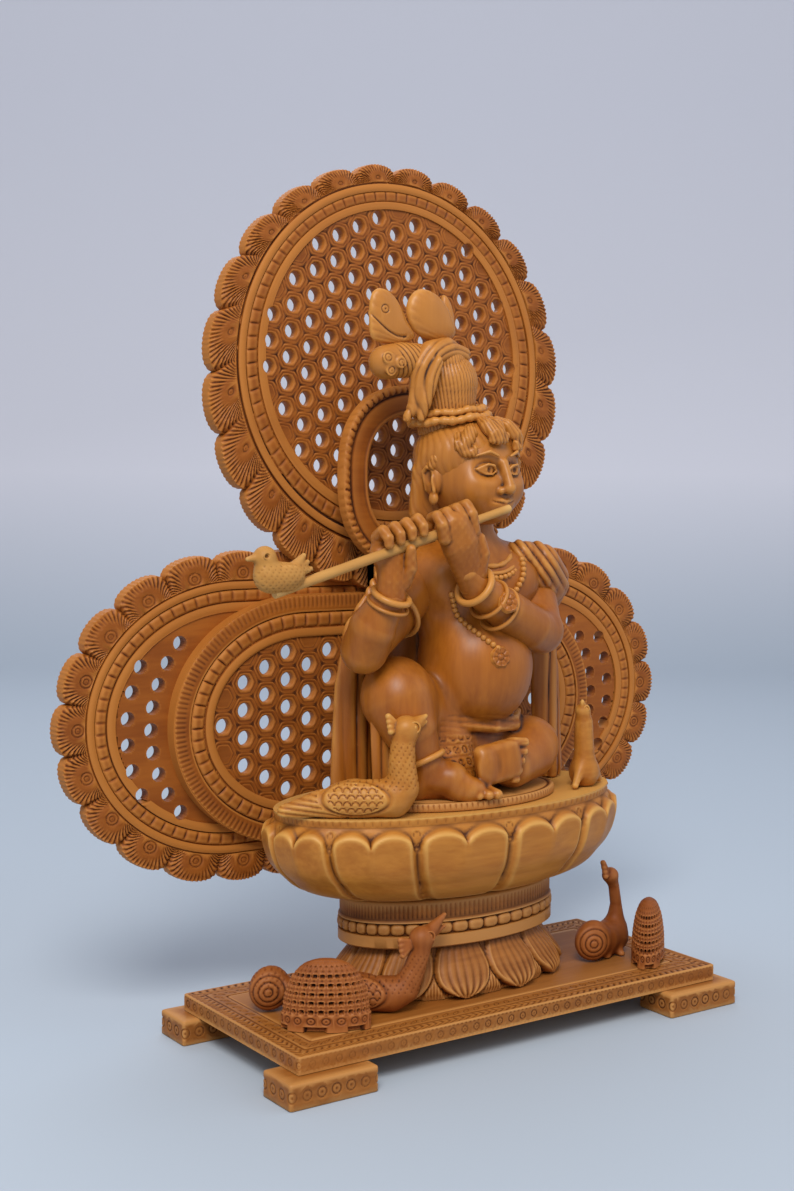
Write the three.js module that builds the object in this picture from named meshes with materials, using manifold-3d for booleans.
// A seated flute player carved in wood, on a lotus bowl with pierced screens behind it.
// Millimetres, +X to the right of the figure's front view, +Y to the back, +Z up.
// Every joined form is worked out from the driving dimensions below.
import * as THREE from 'three';
import { mergeVertices } from 'three/addons/utils/BufferGeometryUtils.js';
import Module from 'manifold-3d';

const wasm = await Module();
wasm.setup();

// Driving dimensions of the base
const GAP = 0.3; // clearance between pieces that rest on or against each other
const PLANK_LENGTH = 220;
const PLANK_WIDTH = 95;
const PLANK_THICK = 7;
const FOOT_LENGTH = 40;
const FOOT_WIDTH = 21;
const FOOT_HEIGHT = 10.5;
const FOOT_END_OVERHANG = 7.5; // how far a foot block runs past the plank's end
const FOOT_SIDE_OVERHANG = 6.5; // and past its long side
const FOOT_CORNER = 3;

// Driving dimensions of the lotus pedestal and bowl; all three are ovals on one axis
const AXIS_Y = 8; // the oval axis stands a little behind the middle of the plank
const LOTUS_HEIGHT = 21.5;
const LOTUS_TIP = { a: 56, b: 34 }; // half axes at the petal tips
const LOTUS_NECK = { a: 45, b: 25 };
const LOTUS_PETALS = 12;
const DRUM = { a: 54, b: 30 };
const DRUM_HEIGHT = 20;
const DRUM_CHAMFER = 3.2;
const BOWL_RIM = { a: 88, b: 45 };
const BOWL_HEIGHT = 39;
const BOWL_PETALS = 12;
const BOWL_BACK = 42; // distance from the oval axis to the flat that carries the screens
const PETAL_RELIEF = 2.6;

// Driving dimensions of the two screens and the arch
const BOARD = 7; // thickness of one layer of board
const DISC_RADIUS = 92; // to the feet of the scallops
const DISC_SCALLOPS = 24;
const SCALLOP_RISE = 4;
const SCREEN_HALF = 161.5; // half width of the low screen, to the feet of its scallops
const SCREEN_RADIUS = 69;
const END_STRETCH = 1.16; // its ends are ovals, this much longer than round
const SCREEN_X = 3; // it is fixed a little to the right of the bowl's middle
const SCREEN_SCALLOPS = 34;
const SCREEN_RISE = 33.7; // its middle lies this far above the bowl's rim
const PANEL_HALF = 115;
const PANEL_RADIUS = 55.5;
const PANEL_LOWER = 2.5; // the raised panel lies this much lower than the screen behind it
const DISC_FOOT = 4.3; // height of the disc's scallop feet above the panel it stands on
const LATTICE_PITCH = 11.35;
const LATTICE_COLUMN = 10.05;
const PANEL_COARSER = 1.07; // the panel's holes stand this much further apart than the disc's
const LATTICE_TURN = 5.5 * Math.PI / 180; // the hand-drilled rows run a little off level
const LATTICE_RADIUS = 67;
const LATTICE_RISE = 8.2; // the round field of holes lies this far above the disc's middle
const HOLE_RADIUS = 3.3;
const HOLE_SIDES = 4;
const PANEL_BORDER = 23; // solid border of the raised panel outside its lattice
const SOLID_BACKING = 36; // the panel is left solid this far each side of the middle
const CRESCENT_ROWS = [{ out: 6.5, holes: 9 }, { out: 16, holes: 6 }]; // past the panel's ends
const CRESCENT_STEP = 9 * Math.PI / 180;
const RING_INNER = 75;
const RING_WIDTH = 6;
const RING_PROUD = 1.6; // how far the ring round the holes stands off the disc
const RING_LIFT = 6; // its middle lies this far above the disc's
const ARCH_OUTER = { a: 42, b: 41 }; // half width and half height of the halo arch's round
const ARCH_WIDTH = 12.5;
const ARCH_SQUARE = 0.8; // power that makes its round a little squarer than an oval
const ARCH_LEG = 26; // half width over the two legs under the round
const ARCH_THICK = 6;
const ARCH_X = 4;
const ARCH_Y = 33.5; // front face of the arch
const ARCH_MIDDLE = 139; // height of the middle of its round above the bowl's rim
const MAT_THICK = 3.6; // the mat that the figure sits on

// Heights that follow from the pieces below
const PLANK_Z = FOOT_HEIGHT + GAP;
const PLANK_TOP = PLANK_Z + PLANK_THICK;
const PEDESTAL_Z = PLANK_TOP + GAP;
const DRUM_Z = PEDESTAL_Z + LOTUS_HEIGHT;
const BOWL_Z = DRUM_Z + DRUM_HEIGHT + GAP;
const RIM_Z = BOWL_Z + BOWL_HEIGHT;
const SEAT_Z = RIM_Z + GAP;
const FRONT_LAYER_Y = AXIS_Y + BOWL_BACK + GAP;
const BACK_LAYER_Y = FRONT_LAYER_Y + BOARD;
const SCREEN_Z = RIM_Z + SCREEN_RISE;
const PANEL_Z = SCREEN_Z - PANEL_LOWER;
const PANEL_TOP = PANEL_Z + PANEL_RADIUS;
const DISC_Z = PANEL_TOP + DISC_FOOT + DISC_RADIUS;

// Materials
const wood = (colour) => new THREE.MeshStandardMaterial({ color: colour, roughness: 0.5, metalness: 0 });
const HONEY = wood(0xb8722f);
const SCREEN_WOOD = wood(0xa9622a);
const CREAM = wood(0xc89a5c);
const RUSSET = wood(0xa5562c);
const PALE = wood(0xcda878);

// Solids from loops and rings

const vec = (x, y, z) => new THREE.Vector3(x, y, z);

// Turn an indexed or plain geometry into a closed solid, faces outwards
function solidOf(geometry) {
  const bare = geometry.clone();
  bare.deleteAttribute('normal');
  bare.deleteAttribute('uv');
  const merged = mergeVertices(bare, 1e-4);
  return new wasm.Manifold(new wasm.Mesh({
    numProp: 3,
    vertProperties: new Float32Array(merged.attributes.position.array),
    triVerts: new Uint32Array(merged.index.array),
  }));
}

function joinAll(solids) {
  return solids.reduce((whole, piece) => whole.add(piece));
}

function geometryOf(solid) {
  const mesh = solid.getMesh();
  const geometry = new THREE.BufferGeometry();
  const points = new Float32Array(mesh.numVert * 3);
  for (let i = 0; i < mesh.numVert; i += 1) {
    points.set(mesh.vertProperties.subarray(i * mesh.numProp, i * mesh.numProp + 3), i * 3);
  }
  geometry.setAttribute('position', new THREE.BufferAttribute(points, 3));
  geometry.setIndex(Array.from(mesh.triVerts));
  geometry.computeVertexNormals();
  return geometry;
}

// A closed skin over a stack of rings with equally many points; both ends close on their middle
function loft(rings) {
  const count = rings[0].length;
  const points = [];
  const faces = [];
  for (const ring of rings) {
    for (const p of ring) points.push(p.x, p.y, p.z);
  }
  for (let level = 0; level + 1 < rings.length; level += 1) {
    for (let i = 0; i < count; i += 1) {
      const j = (i + 1) % count;
      const low = level * count;
      const high = low + count;
      faces.push(low + i, low + j, high + j, low + i, high + j, high + i);
    }
  }
  for (const [level, turned] of [[0, true], [rings.length - 1, false]]) {
    const middle = rings[level].reduce((sum, p) => sum.add(p), vec(0, 0, 0)).divideScalar(count);
    const centre = points.length / 3;
    points.push(middle.x, middle.y, middle.z);
    for (let i = 0; i < count; i += 1) {
      const a = level * count + i;
      const b = level * count + (i + 1) % count;
      faces.push(...(turned ? [centre, b, a] : [centre, a, b]));
    }
  }
  const geometry = new THREE.BufferGeometry();
  geometry.setAttribute('position', new THREE.BufferAttribute(new Float32Array(points), 3));
  geometry.setIndex(faces);
  return geometry;
}

// A ring of the oval a by b at a height, its radius changed by a factor of the angle
function ovalRing(count, a, b, z, reach = () => 0) {
  return Array.from({ length: count }, (_, i) => {
    const angle = 2 * Math.PI * i / count;
    const normal = Math.hypot(b * Math.cos(angle), a * Math.sin(angle));
    const out = reach(i);
    return vec(
      a * Math.cos(angle) + out * b * Math.cos(angle) / normal,
      AXIS_Y + b * Math.sin(angle) + out * a * Math.sin(angle) / normal,
      z,
    );
  });
}

// A limb along a path: a ring stands across the path at each point, rounded in at both ends
function limb(path, radii, sides = 6, flat = 1) {
  const points = path.map((p) => vec(...p));
  const rings = [];
  const ringAt = (centre, along, radius) => {
    const up = Math.abs(along.y) > 0.95 ? vec(1, 0, 0) : vec(0, 1, 0);
    const deep = up.clone().addScaledVector(along, -up.dot(along)).normalize();
    const wide = deep.clone().cross(along).normalize();
    rings.push(Array.from({ length: sides }, (_, i) => {
      const angle = 2 * Math.PI * i / sides;
      return centre.clone()
        .addScaledVector(wide, radius * Math.cos(angle))
        .addScaledVector(deep, radius * flat * Math.sin(angle));
    }));
  };
  const last = points.length - 1;
  points.forEach((p, i) => {
    const along = points[Math.min(i + 1, last)].clone().sub(points[Math.max(i - 1, 0)]).normalize();
    const radius = radii[i];
    if (i === 0) ringAt(p.clone().addScaledVector(along, -0.8 * radius), along, 0.55 * radius);
    ringAt(p, along, radius);
    if (i === last) ringAt(p.clone().addScaledVector(along, 0.8 * radius), along, 0.55 * radius);
  });
  return solidOf(loft(rings));
}

// A rounded lump: a low-sided ball stretched to three radii, and turned about Z by a yaw
function lump(centre, radii, yaw = 0, sides = 8, tiers = 5) {
  const ball = new THREE.SphereGeometry(1, sides, tiers);
  ball.rotateX(Math.PI / 2);
  ball.scale(...radii);
  ball.rotateZ(yaw);
  ball.translate(...centre);
  return solidOf(ball);
}

// A board cut to an outline in the XZ plane, its front face at a given Y
function board(outline, holes, front, thick) {
  const shape = new THREE.Shape(outline);
  for (const hole of holes) shape.holes.push(new THREE.Path(hole));
  const geometry = new THREE.ExtrudeGeometry(shape, { depth: thick, bevelEnabled: false });
  geometry.rotateX(Math.PI / 2);
  geometry.translate(0, front + thick, 0);
  return geometry;
}

// Outline of a lying, round-ended board with scallops along it, each of three points
function scalloped(half, radius, centreZ, scallops, rise, stretch = 1) {
  const straight = half - radius * stretch;
  const length = 2 * Math.PI * radius + 4 * straight;
  const edge = (distance, out) => {
    let d = ((distance % length) + length) % length;
    const legs = [straight, Math.PI * radius, 2 * straight, Math.PI * radius, straight];
    let leg = 0;
    while (leg < 4 && d > legs[leg]) {
      d -= legs[leg];
      leg += 1;
    }
    if (leg === 0) return [d, radius + out];
    if (leg === 2) return [straight - d, -radius - out];
    if (leg === 4) return [d - straight, radius + out];
    const side = leg === 1 ? 1 : -1;
    const angle = Math.PI / 2 - d / radius;
    return [
      side * (straight + (radius * stretch + out) * Math.cos(angle)),
      side * (radius + out) * Math.sin(angle),
    ];
  };
  const outline = [];
  for (let i = 0; i < scallops; i += 1) {
    for (const [share, out] of [[0, 0], [0.28, rise], [0.72, rise]]) {
      const [x, z] = edge((i + share) * length / scallops, out);
      outline.push(new THREE.Vector2(x, centreZ + z));
    }
  }
  return outline.reverse();
}

// A plain round-ended outline of the same family, with few points to each end
function stadium(half, radius, centreZ, steps, stretch = 1) {
  const outline = [];
  for (const side of [1, -1]) {
    for (let i = 0; i <= steps; i += 1) {
      const angle = side * Math.PI / 2 - Math.PI * i / steps;
      outline.push(new THREE.Vector2(
        side * (half - radius * stretch) + radius * stretch * Math.cos(angle),
        centreZ + radius * Math.sin(angle),
      ));
    }
  }
  return outline;
}

const holeAt = (x, z) => Array.from({ length: HOLE_SIDES }, (_, i) => {
  const angle = 2 * Math.PI * i / HOLE_SIDES;
  return new THREE.Vector2(x + HOLE_RADIUS * Math.cos(angle), z + HOLE_RADIUS * Math.sin(angle));
});

// Hole centres of the staggered lattice round a middle, kept where a test allows
function lattice(middleX, middleZ, turn, coarser, allowed) {
  const centres = [];
  const reach = 14;
  for (let column = -reach; column <= reach; column += 1) {
    for (let row = -reach; row <= reach; row += 1) {
      const u = (column + 0.5) * LATTICE_COLUMN * coarser;
      const w = (row + (column % 2 === 0 ? 0.5 : 0)) * LATTICE_PITCH * coarser;
      const x = middleX + u * Math.cos(turn) + w * Math.sin(turn);
      const z = middleZ + w * Math.cos(turn) - u * Math.sin(turn);
      if (allowed(x, z)) centres.push([x, z]);
    }
  }
  return centres;
}

// The base

function foot(sideX, sideY) {
  const shape = new THREE.Shape();
  const x = FOOT_LENGTH / 2 - FOOT_CORNER;
  const y = FOOT_WIDTH / 2 - FOOT_CORNER;
  shape.absarc(x, y, FOOT_CORNER, 0, Math.PI / 2);
  shape.absarc(-x, y, FOOT_CORNER, Math.PI / 2, Math.PI);
  shape.absarc(-x, -y, FOOT_CORNER, Math.PI, 1.5 * Math.PI);
  shape.absarc(x, -y, FOOT_CORNER, 1.5 * Math.PI, 2 * Math.PI);
  const geometry = new THREE.ExtrudeGeometry(shape, {
    depth: FOOT_HEIGHT, bevelEnabled: false, curveSegments: 1,
  });
  geometry.translate(
    sideX * (PLANK_LENGTH / 2 + FOOT_END_OVERHANG - FOOT_LENGTH / 2),
    sideY * (PLANK_WIDTH / 2 + FOOT_SIDE_OVERHANG - FOOT_WIDTH / 2),
    0,
  );
  return geometry;
}

function plank() {
  const geometry = new THREE.BoxGeometry(PLANK_LENGTH, PLANK_WIDTH, PLANK_THICK);
  geometry.translate(0, 0, PLANK_Z + PLANK_THICK / 2);
  return geometry;
}

// Down-turned petals that flare to their tips, with the plain drum above them, in one piece
function pedestal() {
  const count = LOTUS_PETALS * 3;
  const swell = [-1, 0.8, 0.8];
  const petal = (depth) => (i) => depth * swell[i % 3];
  const share = (t) => [
    LOTUS_NECK.a + (LOTUS_TIP.a - LOTUS_NECK.a) * t,
    LOTUS_NECK.b + (LOTUS_TIP.b - LOTUS_NECK.b) * t,
  ];
  const flare = [[0, 0.86, 0.4], [0.12, 1, 1], [0.5, 0.72, 1], [0.94, 0.1, 0.3]];
  const rings = flare.map(([height, t, depth]) => (
    ovalRing(count, ...share(t), PEDESTAL_Z + height * LOTUS_HEIGHT, petal(depth * PETAL_RELIEF))
  ));
  const { a, b } = DRUM;
  const band = 1.2;
  rings.push(ovalRing(count, a - 4, b - 4, DRUM_Z));
  rings.push(ovalRing(count, a, b, DRUM_Z + DRUM_CHAMFER));
  rings.push(ovalRing(count, a, b, DRUM_Z + DRUM_HEIGHT - 5));
  rings.push(ovalRing(count, a - band, b - band, DRUM_Z + DRUM_HEIGHT - 4));
  rings.push(ovalRing(count, a - band, b - band, DRUM_Z + DRUM_HEIGHT));
  return loft(rings);
}

// Twelve double-lobed petals round a deep bowl-shaped block, cut flat behind
function bowl() {
  const count = BOWL_PETALS * 4;
  const heart = [-1, 0.5, 0, 0.5];
  const { a, b } = BOWL_RIM;
  const curve = [
    [0, 0.58, 0], [0.07, 0.72, 0.5], [0.3, 0.9, 1], [0.6, 0.985, 1], [0.85, 0.985, 0.8],
    [0.93, 0.965, 0], [1, 0.975, 0],
  ];
  const rings = curve.map(([height, share, relief]) => (
    ovalRing(count, share * a, share * b, BOWL_Z + height * BOWL_HEIGHT,
      (i) => relief * PETAL_RELIEF * heart[i % 4])
  ));
  const back = new THREE.BoxGeometry(3 * a, b, 3 * BOWL_HEIGHT);
  back.translate(0, AXIS_Y + BOWL_BACK + b / 2, BOWL_Z + BOWL_HEIGHT / 2);
  return geometryOf(solidOf(loft(rings)).subtract(solidOf(back)));
}

// The screens and the arch

// A flat ring that stands a little proud of a board's front face
function raisedRing(radius, centreZ, front, steps) {
  const outer = stadium(radius + RING_WIDTH, radius + RING_WIDTH, centreZ, steps);
  const inner = stadium(radius, radius, centreZ, steps).reverse();
  return solidOf(board(outer, [inner], front - RING_PROUD, RING_PROUD + 1));
}

function upperDisc() {
  const centres = lattice(0, DISC_Z + LATTICE_RISE, LATTICE_TURN, 1, (x, z) => (
    Math.hypot(x, z - DISC_Z - LATTICE_RISE) < LATTICE_RADIUS
  ));
  const outline = scalloped(DISC_RADIUS, DISC_RADIUS, DISC_Z, DISC_SCALLOPS, SCALLOP_RISE);
  const holes = centres.map((c) => holeAt(...c));
  const disc = solidOf(board(outline, holes, FRONT_LAYER_Y, BOARD - GAP));
  return geometryOf(disc.add(raisedRing(RING_INNER, DISC_Z + RING_LIFT, FRONT_LAYER_Y, 12)));
}

// A scalloped board with a raised, round-ended panel on its middle, drilled through both
function lowerScreen() {
  const endX = PANEL_HALF - PANEL_RADIUS * END_STRETCH;
  const inLattice = (x, z) => {
    const radius = PANEL_RADIUS - PANEL_BORDER;
    const past = Math.max(Math.abs(x) - (PANEL_HALF - PANEL_BORDER - radius * END_STRETCH), 0);
    return Math.abs(x) > SOLID_BACKING && Math.hypot(past / END_STRETCH, z - PANEL_Z) < radius;
  };
  const drilled = lattice(0, PANEL_Z, 0, PANEL_COARSER, inLattice);
  const crescent = [1, -1].flatMap((side) => CRESCENT_ROWS.flatMap(({ out, holes }) => (
    Array.from({ length: holes }, (_, i) => {
      const angle = (i - (holes - 1) / 2) * CRESCENT_STEP;
      const reach = PANEL_RADIUS + out;
      const x = endX + END_STRETCH * reach * Math.cos(angle);
      return [side * x, PANEL_Z + reach * Math.sin(angle)];
    })
  )));
  const holes = drilled.map((c) => holeAt(...c));
  const outline = scalloped(
    SCREEN_HALF, SCREEN_RADIUS, SCREEN_Z, SCREEN_SCALLOPS, SCALLOP_RISE, END_STRETCH,
  );
  const ends = crescent.map((c) => holeAt(...c));
  const wide = solidOf(board(outline, [...holes, ...ends], BACK_LAYER_Y, BOARD));
  const face = stadium(PANEL_HALF, PANEL_RADIUS, PANEL_Z, 9, END_STRETCH);
  const raised = solidOf(board(face, holes, FRONT_LAYER_Y, BOARD));
  return geometryOf(wide.add(raised)).translate(SCREEN_X, 0, 0);
}

// A round halo, open below, whose ends turn down into two straight legs on the bowl
function arch() {
  const middle = RIM_Z + ARCH_MIDDLE;
  const steps = 18;
  // One edge of the band from the right leg over the top to the left one
  const edge = (inset) => {
    const [a, b] = [ARCH_OUTER.a - inset, ARCH_OUTER.b - inset];
    const leg = ARCH_LEG - inset;
    const low = -Math.acos((leg / a) ** (1 / ARCH_SQUARE));
    const round = Array.from({ length: steps + 1 }, (_, i) => {
      const angle = low + (Math.PI - 2 * low) * i / steps;
      const [c, d] = [Math.cos(angle), Math.sin(angle)];
      return new THREE.Vector2(
        a * Math.sign(c) * Math.abs(c) ** ARCH_SQUARE,
        middle + b * Math.sign(d) * Math.abs(d) ** ARCH_SQUARE,
      );
    });
    return [new THREE.Vector2(leg, SEAT_Z), ...round, new THREE.Vector2(-leg, SEAT_Z)];
  };
  const outline = [...edge(0), ...edge(ARCH_WIDTH).reverse()];
  return board(outline, [], ARCH_Y, ARCH_THICK).translate(ARCH_X, 0, 0);
}

// The seated figure; its places are its own carving, set from the seat upwards

function figure() {
  const up = (z) => SEAT_Z + z;
  const mat = [0, MAT_THICK].map((z) => Array.from({ length: 16 }, (_, i) => {
    const angle = 2 * Math.PI * i / 16;
    return vec(-2 + 50 * Math.cos(angle), 0.8 + 31.8 * Math.sin(angle), up(z));
  }));
  const body = [
    solidOf(loft(mat)),
    lump([3, 10, up(19)], [34, 22, 20]),
    lump([6, -3, up(57)], [25.5, 24.5, 27.5], 0, 9, 6),
    lump([9, 4, up(88)], [34, 18, 21]),
    limb([[9, 4, up(104)], [7, 2, up(124)]], [10, 9]),
    limb([[4, 22, up(8)], [5, 19, up(94)]], [34, 33], 6, 0.24),
  ];
  const head = [
    lump([6, 0, up(139)], [20, 21.5, 25.5], 0.12, 9, 6),
    lump([4, 4, up(147)], [24.4, 23.4, 19.4], 0.12, 7, 5),
    lump([4, 15, up(126)], [24, 12, 24]),
    lump([5, -12, up(124)], [10, 9, 6], 0.12, 6, 4),
    limb([[8, -20.5, up(143)], [9, -22.5, up(133)]], [2.2, 3.6], 4),
  ];
  const knot = [
    limb([[-1, 6, up(161)], [-3, 7, up(167)], [-4, 8, up(180)], [-5, 8, up(190)]], [17, 15, 14, 10], 8),
    limb([[-6, 8, up(189)], [-34, 6, up(184)]], [9.5, 7.5]),
    limb([[-14, 8, up(184)], [-21, 10, up(163)]], [5, 3.5], 5),
    lump([-30, 9.3, up(205.4)], [10, 4, 15.5], 0.2, 6),
    lump([-11, 9.1, up(206.2)], [14, 4, 16.5], 0.1, 6),
    lump([4, 12, up(204.3)], [9.5, 4, 14.5], 0.15, 6),
  ];
  const rightArm = [
    limb([[-22, 4, up(91)], [-55, -8, up(69)]], [11, 10.5]),
    limb([[-55, -10, up(68)], [-55, -18, up(79)], [-52, -25, up(93)]], [10.5, 10.5, 6.5]),
    limb([[-52, -25, up(94)], [-54, -25, up(106)], [-51, -25, up(117)]], [6.5, 7, 6], 6, 0.7),
    limb([[-60, -27, up(116)], [-36, -27, up(122)]], [5.5, 4.5], 5, 0.8),
  ];
  const leftArm = [
    limb([[42, 5, up(92)], [31, -13, up(69)]], [11, 10.5]),
    limb([[31, -14, up(69)], [10, -21, up(78)], [-15, -26, up(96)]], [10.5, 10.5, 6.5]),
    limb([[-16, -26, up(97)], [-21, -27.5, up(108)], [-27, -28, up(119)]], [6.5, 8, 8.5], 7, 0.75),
  ];
  const legs = [
    limb([[-2, 8, up(22)], [-38, -7, up(50)]], [17, 13.5], 8),
    limb([[-38, -8, up(49)], [-36, -12, up(34)], [-30, -17, up(20)]], [13, 12.5, 7.5], 8),
    limb([[-31, -15, up(10)], [-20, -22, up(10.5)], [-6, -27, up(7)]], [7.5, 7, 4.5]),
    limb([[18, 6, up(19)], [31, -7, up(18)]], [17, 13.5], 8),
    limb([[30, -10, up(16)], [2, -20, up(11)]], [11.5, 7], 5),
    limb([[-12, -25, up(19)], [9, -29.5, up(16)]], [9.5, 10], 7, 0.4),
    limb([[-12, -18, up(44)], [-12, -25, up(6)]], [8, 10], 6, 0.45),
  ];
  const shawl = [
    limb([[33, -4, up(102)], [46, 6, up(98)], [55, 14, up(86)]], [8, 9, 7]),
    limb([[55, 15.3, up(86)], [61, 14.6, up(5)]], [7, 8.5], 6, 0.6),
    limb([[-28, 13, up(92)], [-45, 13, up(66)], [-47.5, 12, up(7)]], [8, 9, 10.5], 6, 0.5),
  ];
  const under = new THREE.BoxGeometry(300, 300, 60);
  under.translate(0, 0, SEAT_Z - 30);
  const whole = joinAll([...body, ...head, ...knot, ...rightArm, ...leftArm, ...legs, ...shawl]);
  return whole.subtract(solidOf(under));
}

// The flute runs from the mouth down to a small duck carved on its end
const FLUTE_RADIUS = 1.9;
const FLUTE_MOUTH = [6, -26, 125.4];
const FLUTE_END = [-112, -33, 94];
const FLUTE_BORE = 0.35; // clearance of the hands round the flute

function fluteRod(radius) {
  const at = ([x, y, z]) => vec(x, y, SEAT_Z + z);
  const from = at(FLUTE_MOUTH);
  const to = at(FLUTE_END);
  const rod = new THREE.CylinderGeometry(radius, radius, from.distanceTo(to), 6);
  const along = to.clone().sub(from).normalize();
  rod.applyQuaternion(new THREE.Quaternion().setFromUnitVectors(vec(0, 1, 0), along));
  rod.translate(...from.add(to).divideScalar(2).toArray());
  return solidOf(rod);
}

function flute() {
  const [x, y, z] = FLUTE_END;
  const at = (dx, dz) => [x + dx, y, SEAT_Z + z + dz];
  return joinAll([
    fluteRod(FLUTE_RADIUS),
    lump(at(4, 6), [11, 4.5, 6.2]),
    limb([at(11, 8), at(17, 13)], [3, 1.2], 4),
    limb([at(-4, 9), at(-4, 14)], [3.6, 3.4]),
    limb([at(-5, 15), at(-11, 13.5)], [2, 0.8], 4),
  ]);
}

// Birds and domes

// A bird: its body from tail to breast, its neck up to the head, its beak and its comb
function bird({ body, girths, neck, thickness, beak, comb }, floor) {
  const head = neck[neck.length - 1];
  const round = thickness[thickness.length - 1];
  const under = new THREE.BoxGeometry(400, 400, 60);
  under.translate(0, 0, floor - 30);
  return geometryOf(joinAll([
    limb(body, girths, 6),
    limb(neck, thickness, 5),
    limb([head, beak], [round * 0.8, round * 0.25], 4),
    limb([head, comb], [round * 0.5, round * 0.6], 4),
  ]).subtract(solidOf(under)));
}

const DOME = { half: 18, depth: 7.4, height: 28.5, band: 6 };

// A half-oval openwork dome on a plain band, turned to stand across the plank's corner
function dome(x, y, yaw) {
  const count = 14;
  const ring = (share, z) => Array.from({ length: count }, (_, i) => {
    const angle = 2 * Math.PI * i / count;
    return vec(share * DOME.half * Math.cos(angle), share * DOME.depth * Math.sin(angle), z);
  });
  const rings = [ring(1, 0), ring(1, DOME.band), ring(0.95, DOME.band + 0.6)];
  const tiers = 3;
  for (let i = 1; i <= tiers; i += 1) {
    const angle = Math.PI / 2 * i / (tiers + 0.7);
    rings.push(ring(0.95 * Math.cos(angle), DOME.band + (DOME.height - DOME.band) * Math.sin(angle)));
  }
  const geometry = loft(rings);
  geometry.rotateZ(yaw);
  geometry.translate(x, y, PLANK_TOP + GAP);
  return geometry;
}

// The whole object

const group = new THREE.Group();

function add(name, geometry, material) {
  const mesh = new THREE.Mesh(geometry, material);
  mesh.name = name;
  group.add(mesh);
}

add('plank', plank(), HONEY);
for (const [side, sideX] of [['left', -1], ['right', 1]]) {
  for (const [end, sideY] of [['front', -1], ['back', 1]]) {
    add(`foot_${end}_${side}`, foot(sideX, sideY), HONEY);
  }
}
add('pedestal', pedestal(), HONEY);
add('lotus_bowl', bowl(), CREAM);
add('lower_screen', lowerScreen(), SCREEN_WOOD);
add('upper_disc', upperDisc(), SCREEN_WOOD);
add('halo_arch', arch(), SCREEN_WOOD);
add('figure', geometryOf(figure().subtract(fluteRod(FLUTE_RADIUS + FLUTE_BORE))), HONEY);
add('flute', geometryOf(flute()), PALE);

// Birds on the bowl's rim and on the plank; their places are their own, from the perch upwards
const PERCH_Z = PLANK_TOP + GAP;
const lifted = (floor, points) => points.map(([x, y, z]) => [x, y, floor + z]);

function perched(name, floor, { body, neck, beak, comb, girths, thickness }, material) {
  const [beakAt, combAt] = lifted(floor, [beak, comb]);
  const placed = { body: lifted(floor, body), neck: lifted(floor, neck), beak: beakAt, comb: combAt };
  add(name, bird({ ...placed, girths, thickness }, floor), material);
}

perched('bowl_bird_left', SEAT_Z, {
  body: [[-88, 0, 3], [-66, -10, 5], [-48, -23, 6]], girths: [5.5, 9, 7.5],
  neck: [[-47, -24, 9], [-46, -25, 24], [-46, -25, 36]], thickness: [6.5, 3.6, 4],
  beak: [-36, -27, 38], comb: [-51, -24, 38],
}, CREAM);
perched('bowl_bird_right', SEAT_Z, {
  body: [[78, 7, 3], [71, -2, 5], [63, -10, 6]], girths: [5.5, 8.5, 7.5],
  neck: [[62, -11, 9], [59, -13, 24], [57, -14, 36]], thickness: [6.5, 3.6, 4],
  beak: [51, -22, 36], comb: [60, -10, 39],
}, CREAM);
perched('plank_bird_left', PERCH_Z, {
  body: [[-92, 8, 8.5], [-72, -6, 6.5], [-54, -18, 7.5], [-46, -23, 7]], girths: [9, 6.5, 8.5, 6],
  neck: [[-44, -24.5, 8], [-40.5, -26, 19], [-39, -27, 29]], thickness: [6, 3.8, 3.8],
  beak: [-26, -27, 36], comb: [-51, -26, 27],
}, RUSSET);
perched('plank_bird_right', PERCH_Z, {
  body: [[67, -13, 11.5], [76, -9.5, 9.5], [86, -6, 8.5]], girths: [8.5, 8.5, 7.5],
  neck: [[87, -5.5, 9], [85, -6, 24], [82.5, -6.5, 36]], thickness: [7, 4, 4.2],
  beak: [86, 0, 38], comb: [77, -8, 40],
}, RUSSET);
add('dome_left', dome(-83, -24, -0.56), RUSSET);
add('dome_right', dome(90, -25, 0.75), RUSSET);

// The origin is the middle of the whole object's footprint, on the surface it stands on
const box = new THREE.Box3().setFromObject(group);
group.position.set(-(box.min.x + box.max.x) / 2, -(box.min.y + box.max.y) / 2, 0);

export default group;
